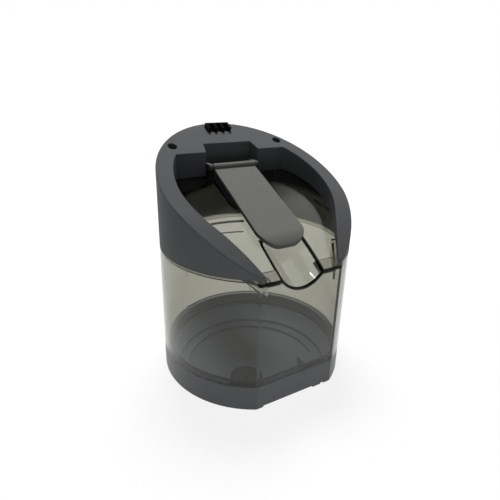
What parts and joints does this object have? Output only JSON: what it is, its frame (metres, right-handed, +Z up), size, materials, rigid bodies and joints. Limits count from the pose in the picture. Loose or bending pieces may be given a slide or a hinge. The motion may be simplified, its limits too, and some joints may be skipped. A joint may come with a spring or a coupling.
{
  "type": "vacuum clean water tank",
  "caption": "Clear D-plan clean water tank of a floor washer, with a dark base cup, slanted open-front collar, hinged fill lid, finger scoop and sprung outlet valve.",
  "frame": {"origin": "middle of the tank's box at the foot of the base cup, on the table", "axes": "+Z up, -Y out of the flat front, +X to the right for a person who faces the flat front"},
  "size_m": [0.12, 0.1134, 0.153],
  "materials": {
    "clear_plastic": "polished clear moulding with a grey smoke tint",
    "grey_plastic": "dark grey fine-grained moulding",
    "lid_plastic": "warm dark grey fine-grained moulding",
    "black_plastic": "black moulding",
    "black_rubber": "black moulded seal",
    "steel": "drawn and plated steel"
  },
  "bodies": {
    "tank": {"tank_body": "clear_plastic", "base_cup": "grey_plastic", "base_gasket": "black_rubber", "collar": "grey_plastic", "collar_screws": "steel", "rear_comb": "black_plastic", "hinge_pin": "steel", "port_gasket": "black_rubber", "vent_valve": "black_rubber", "valve_cage": "black_plastic", "valve_spring": "steel"},
    "lid": {"fill_lid": "lid_plastic"},
    "valve": {"valve_poppet": "black_plastic", "valve_seal": "black_rubber"}
  },
  "joints": [
    {"name": "lid_hinge", "type": "hinge", "parent": "tank", "child": "lid", "pos_m": [0, 0.02525, 0.12815], "axis": [-1, 0, 0], "range_deg": [0, 110]},
    {"name": "valve_lift", "type": "slide", "parent": "tank", "child": "valve", "axis": [0, 0, 1], "range_m": [0, 0.0022], "stiffness_N_per_m": 250, "deforming": ["valve_spring"]}
  ]
}
